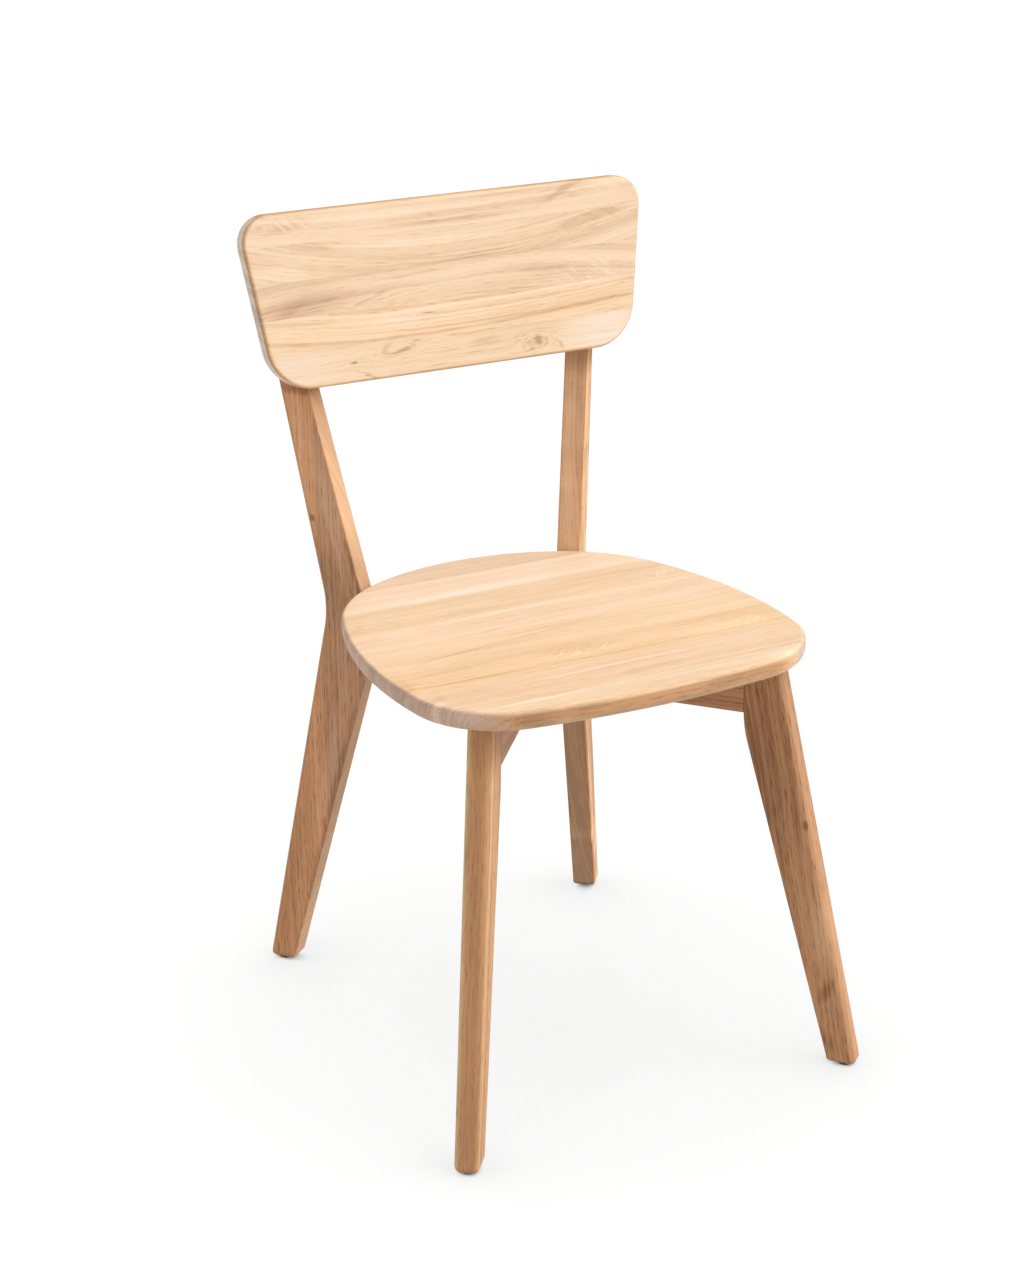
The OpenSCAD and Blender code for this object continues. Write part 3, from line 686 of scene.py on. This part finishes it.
for k, look in enumerate(seat_looks, start=1):
    name = f"seat_stave_{k}"
    low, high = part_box(name)
    low, high = low.y / MM - seat_front_y, high.y / MM - seat_front_y
    bm = cut_stave(panel, Vector((0, 1, 0)), None if k == len(seat_looks) else low,
                   None if k == 1 else high)
    middle = (0, seat_front_y + (low + high) / 2, (seat_top + seat_under) / 2)
    finish_piece(bm, name + "_oak", [name], oak(
        "oiled_oak_" + name, middle=middle, along=(1, 0, 0), face=(0, 0, 1), wander=26.0,
        # The seat's end grain is partly its own colour and partly painted light: it is made lighter
        # than oak's end grain, for the end turned from the key.
        ring=0.14, band=0.16, pore=0.1, edge=seat_edge, end="#e6c9b3", arris="#dfbeaa",
        contrast=1.5, seed=20.3 + 2.7 * k, **look),
        Matrix.Translation((0, seat_front_y, seat_under)))
panel.free()


# ---- Backrest ------------------------------------------------------------
# Five oak staves edge-glued with their grain from side to side, sawn to a rounded trapezoid
# that is wider at the top, and rounded over. It leans on the flat bevels of the posts.

back_w_top, back_w_bottom, back_height = 462.0, 410.0, 178.0
back_top_r, back_bottom_r = 30.0, 48.0
back_round, back_round_rear = 4.0, 6.5
back_stave_w = 36.5


def back_panel():
    """The whole panel with its front face at y = 0 and its lower edge at z = 0."""
    bm = bmesh.new()
    corners = [bm.verts.new((x, 0, z)) for x, z in (
        (-back_w_bottom / 2, 0), (back_w_bottom / 2, 0),
        (back_w_top / 2, back_height), (-back_w_top / 2, back_height))]
    swept = bmesh.ops.extrude_face_region(bm, geom=[bm.faces.new(corners)])["geom"]
    moved = [v for v in swept if isinstance(v, bmesh.types.BMVert)]
    bmesh.ops.translate(bm, verts=moved, vec=(0, back_t, 0))
    bmesh.ops.recalc_face_normals(bm, faces=bm.faces[:])
    flare = math.atan2((back_w_top - back_w_bottom) / 2, back_height)
    for radius, z, half_turn in ((back_bottom_r, 0, (math.pi / 2 - flare) / 2),
                                 (back_top_r, back_height, (math.pi / 2 + flare) / 2)):
        round_edges(bm, radius * math.tan(half_turn), 12,
                    lambda a, b: at_height(z)(a, b) and abs(a.y - b.y) > 1)
    round_edges(bm, back_round_rear, 8, lambda a, b: min(a.y, b.y) > back_t - CLOSE)
    round_edges(bm, back_round, 6, lambda a, b: max(a.y, b.y) < CLOSE)
    return bm


back_edge = (back_t / 2, back_round, (
    (0.05, "#e2b080"), (0.2, "#c89870"), (0.8, "#d2a27a"), (0.88, "#dca876"), (0.96, "#f6cda3")))
# Per stave from the lowest: colours and figure.
back_looks = [
    dict(colours=("#f9f0e7", "#f1d6b5", "#bd9672"), pith=(-60, -40), knots=(
        (-72, 8, 46, 16, 8, 13.0), (92, 1, 36, 18, 0, -14.0), (20, 20, 60, 14, 0, 5.0)), marks=(
        (-185, 0, 70, 34, 0, 0.03), (170, 2, 74, 34, 0, 0.17), (-119, 2, 6, 2.4, 0, -0.36),
        (-64, 8, 14, 3, 12, -0.25), (-104, -12, 22, 2.6, -24, -0.18), (93, 0, 6, 9, 20, -0.2),
        (84, -10, 7, 3, 0, -0.24), (118, -7, 12, 3, -50, -0.18), (32, 6, 26, 8, 0, -0.08))),
    dict(colours=("#fdf4ea", "#f4d7b2", "#c8976d"), bow=2.2e-4, marks=(
        (0, 2.3, 300, 2.6, 0.2, 0.18), (-10, -9, 250, 1.9, 0, -0.13), (-32, 6.4, 13, 1.0, -2, -0.36),
        (140, -9, 80, 4, 0, -0.08), (-20, -2.5, 160, 1.8, 0, 0.07), (0, 15, 220, 3, 0, -0.06))),
    dict(colours=("#fdeddb", "#f1d4b4", "#bd9678"), bow=-3e-4, knots=(
        (-95, -24, 70, 26, 0, 10.0),), marks=(
        (-170, 2, 70, 22, 0, -0.12), (-186, -2, 28, 8, 20, -0.08), (-45, 11.5, 92, 1.7, 0, -0.16),
        (35, 0, 90, 14, 0, 0.07), (80, -16.5, 110, 2.4, 0, -0.14), (-95, -6, 34, 3, 14, -0.12)),
        rays=((158, 0, 60, 20, -38, 0.1),)),
    dict(colours=("#fff2e0", "#f2d5b4", "#c09977"), bow=6e-4, marks=(
        (-20, 5.5, 150, 4.2, 0, 0.16), (0, -11.5, 180, 2.4, 0, -0.13), (0, -16.5, 90, 2, 0, -0.18),
        (-185, -28, 34, 7, 0, 0.1), (165, -6, 70, 11, 0, -0.11), (-165, 0, 60, 6, 0, -0.12)),
        rays=((170, -8, 50, 16, -30, -0.08),)),
    dict(colours=("#fff2e2", "#f4d8b8", "#c49d7c"), bow=1.5e-4, marks=(
        (0, -12, 120, 4, 0, -0.17), (-30, 3, 130, 8, 0, 0.07), (136, 3, 50, 6, 20, -0.17),
        (-200, -9, 44, 7, 0, -0.07), (190, -2, 40, 12, 0, 0.05), (40, 8, 90, 2, 0, -0.06)),
        rays=((-182, 0, 40, 16, -36, -0.12), (180, 0, 40, 14, -28, 0.07)))]
panel = back_panel()
for k, look in enumerate(back_looks, start=1):
    name = f"back_stave_{k}"
    low = None if k == 1 else (k - 1) * back_stave_w
    high = None if k == len(back_looks) else k * back_stave_w
    bm = cut_stave(panel, Vector((0, 0, 1)), low, high)
    finish_piece(bm, name + "_oak", [name], oak(
        "oiled_oak_" + name,
        middle=back_place @ Vector((0, back_t / 2, (k - 0.5) * back_stave_w)),
        along=(1, 0, 0), face=back_place.to_3x3() @ Vector((0, -1, 0)), ring=0.17, pore=0.09,
        # The near-white end grain is partly painted light: it is lighter than oak's own end grain,
        # for the end turned from the key.
        edge=back_edge, end="#fff1e7", contrast=1.2, seed=50.3 + 3.9 * k, **look), back_place)
panel.free()


# ---- Dowels, screws and glides -------------------------------------------
# Beech dowels are glued between rails and legs and between posts and backrest. Steel screws
# hold the seat from counterbores in the rails, and a nylon glide is fixed under each foot.

# Turned beech, left unfinished: pale, dry and matt, with fine fibres.
FIBRE_MM = 1.11
beech, tree = new_material("dry_beech")
fibres = add_node(tree, "ShaderNodeTexNoise", {"Scale": 1 / (FIBRE_MM * MM), "Detail": 2.0})
fibres = add_node(tree, "ShaderNodeMix", {
    "Factor": fibres.outputs["Fac"], "A": linear("#caa67c"), "B": linear("#e2c9a4")},
    data_type="RGBA")
shader = add_node(tree, "ShaderNodeBsdfPrincipled", {
    "Base Color": fibres.outputs["Result"], "Roughness": 0.7})
add_node(tree, "ShaderNodeOutputMaterial", {"Surface": shader.outputs[0]})
for name in ("rail_dowels", "back_dowels"):
    refinish(name, beech)

# Zinc-plated steel: light grey, with a satin shine that varies with the plating's crystals.
SPANGLE_MM = 0.667
zinc, tree = new_material("zinc_plated_steel")
spangle = add_node(tree, "ShaderNodeTexNoise", {"Scale": 1 / (SPANGLE_MM * MM), "Detail": 2.0})
satin = add_node(tree, "ShaderNodeMapRange", {
    "Value": spangle.outputs["Fac"], "To Min": 0.28, "To Max": 0.45})
shader = add_node(tree, "ShaderNodeBsdfPrincipled", {
    "Base Color": linear("#b9babb"), "Metallic": 1.0, "Roughness": satin.outputs[0]})
add_node(tree, "ShaderNodeOutputMaterial", {"Surface": shader.outputs[0]})
refinish("seat_screws", zinc)

# Moulded nylon: dark brown and slightly shiny, dulled in patches by the floor.
SCUFF_MM = 1.43
nylon, tree = new_material("moulded_brown_nylon")
scuff = add_node(tree, "ShaderNodeTexNoise", {"Scale": 1 / (SCUFF_MM * MM), "Detail": 3.0})
worn = add_node(tree, "ShaderNodeMapRange", {
    "Value": scuff.outputs["Fac"], "To Min": 0.4, "To Max": 0.65})
shader = add_node(tree, "ShaderNodeBsdfPrincipled", {
    "Base Color": linear("#4a3c32"), "Roughness": worn.outputs[0]})
add_node(tree, "ShaderNodeOutputMaterial", {"Surface": shader.outputs[0]})
refinish("glides", nylon)


# ---- Floor, light and camera ---------------------------------------------
# A pale floor, a broad soft key from the front right with a lower one under it, a top light,
# a weak fill from the front left and an even white room.

floor_half = 20.0
floor_mesh = bpy.data.meshes.new("floor")
bm = bmesh.new()
bmesh.ops.create_grid(bm, x_segments=1, y_segments=1, size=floor_half)
bm.to_mesh(floor_mesh)
bm.free()
floor = bpy.data.objects.new("floor", floor_mesh)
bpy.context.scene.collection.objects.link(floor)


def background_rays(tree):
    """1 for the rays that show the background: from the camera, in gloss and through glass."""
    kind = add_node(tree, "ShaderNodeLightPath").outputs
    seen = add_node(tree, "ShaderNodeMath", {
        0: kind["Is Camera Ray"], 1: kind["Is Glossy Ray"]}, operation="MAXIMUM")
    seen = add_node(tree, "ShaderNodeMath", {
        0: seen.outputs[0], 1: kind["Is Transmission Ray"]}, operation="MAXIMUM")
    return seen.outputs[0]


# White matt paint. It shows as white, darker where the chair stands close over it, and lights
# the chair from below as a warm grey. The shadow is (share of open room, brightness).
contact_shadow = ((0.1, 0.12), (0.3, 0.6), (0.5, 0.85), (0.8, 0.87), (0.9, 0.965), (0.96, 0.985))
paint, tree = new_material("white_floor")
near = add_node(tree, "ShaderNodeAmbientOcclusion", {"Distance": 0.5}, samples=8)
glowing = add_node(tree, "ShaderNodeValToRGB", {"Fac": near.outputs["AO"]})
set_stops(glowing, [(share, (level, level, level, 1)) for share, level in contact_shadow])
matt = add_node(tree, "ShaderNodeBsdfDiffuse", {"Color": (0.6, 0.56, 0.52, 1)})
pale = add_node(tree, "ShaderNodeBsdfDiffuse", {"Color": (0.05, 0.05, 0.05, 1)})
glow = add_node(tree, "ShaderNodeEmission", {"Color": glowing.outputs["Color"]})
white = add_node(tree, "ShaderNodeAddShader", {0: pale.outputs[0], 1: glow.outputs[0]})
either = add_node(tree, "ShaderNodeMixShader", {
    0: background_rays(tree), 1: matt.outputs[0], 2: white.outputs[0]})
add_node(tree, "ShaderNodeOutputMaterial", {"Surface": either.outputs[0]})
floor_mesh.materials.append(paint)

# The room is seen as white, and lights the chair evenly with a weaker, warmer white.
world = bpy.data.worlds.new("white_room")
bpy.context.scene.world = world
world.use_nodes = True
tree = world.node_tree
tree.nodes.clear()
room = add_node(tree, "ShaderNodeBackground", {"Color": (1.0, 0.9, 0.82, 1), "Strength": 0.32})
blank = add_node(tree, "ShaderNodeBackground", {"Color": (1, 1, 1, 1), "Strength": 1.0})
either = add_node(tree, "ShaderNodeMixShader", {
    0: background_rays(tree), 1: room.outputs[0], 2: blank.outputs[0]})
add_node(tree, "ShaderNodeOutputWorld", {"Surface": either.outputs[0]})

# Each lamp's name, the direction it shines from, its strength and its softness in degrees.
for name, towards, energy, softness in (("soft_key", (0.55, -0.42, 0.7), 1.94, 50),
                                        ("low_key", (0.77, -0.59, 0.25), 0.7, 28),
                                        ("soft_top", (0, 0, 1), 0.51, 60),
                                        ("soft_fill", (-0.8, -0.6, 0.3), 0.56, 70)):
    lamp = bpy.data.lights.new(name, "SUN")
    lamp.energy = energy
    lamp.angle = math.radians(softness)
    lamp_object = bpy.data.objects.new(name, lamp)
    lamp_object.rotation_euler = Vector(towards).to_track_quat("Z", "Y").to_euler()
    bpy.context.scene.collection.objects.link(lamp_object)

camera_yaw, camera_pitch, camera_roll = (math.radians(a) for a in (27.64, 20.66, -0.59))
camera_distance = 2.7371
camera_target = Vector((-0.0259, 0.0153, 0.4207))
ahead = Vector((math.sin(camera_yaw) * math.cos(camera_pitch),
                math.cos(camera_yaw) * math.cos(camera_pitch), -math.sin(camera_pitch)))
camera = bpy.data.cameras.new("camera")
camera.sensor_fit = "HORIZONTAL"
camera.sensor_width = 36.0
camera.lens = 94.9
camera_object = bpy.data.objects.new("camera", camera)
camera_object.matrix_world = (
    Matrix.Translation(camera_target - camera_distance * ahead)
    @ ahead.to_track_quat("-Z", "Y").to_matrix().to_4x4()
    @ Matrix.Rotation(camera_roll, 4, "Z"))
bpy.context.scene.collection.objects.link(camera_object)
bpy.context.scene.camera = camera_object
bpy.context.scene.view_settings.view_transform = "Standard"
